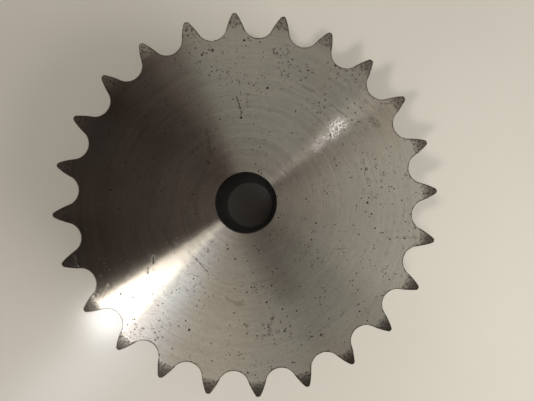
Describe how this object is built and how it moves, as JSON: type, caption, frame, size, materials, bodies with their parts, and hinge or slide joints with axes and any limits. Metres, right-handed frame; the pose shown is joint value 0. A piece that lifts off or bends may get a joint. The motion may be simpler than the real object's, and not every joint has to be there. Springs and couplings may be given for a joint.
{
  "type": "roller chain sprocket",
  "caption": "Double-strand roller chain sprocket in bare turned steel, with two rows of relieved teeth, a groove between them, a long hub and a plain round pilot bore.",
  "frame": {"origin": "centre of the hub's end face, which the wheel lies on", "axes": "+Z along the bore axis, from the hub's end to the front face; +X through the middle of one tooth of each row"},
  "size_m": [0.1298, 0.1298, 0.0475],
  "materials": {
    "front_steel": "turned, handled and lightly stained",
    "rear_steel": "turned",
    "spacer_steel": "turned, dull",
    "hub_steel": "turned",
    "weld_steel": "weld bead, dull and scaled"
  },
  "bodies": {
    "root": {"front_toothed_plate": "front_steel", "rear_toothed_plate": "rear_steel", "spacer_ring": "spacer_steel", "hub": "hub_steel", "front_groove_weld": "weld_steel", "rear_groove_weld": "weld_steel", "hub_weld": "weld_steel"}
  },
  "joints": []
}
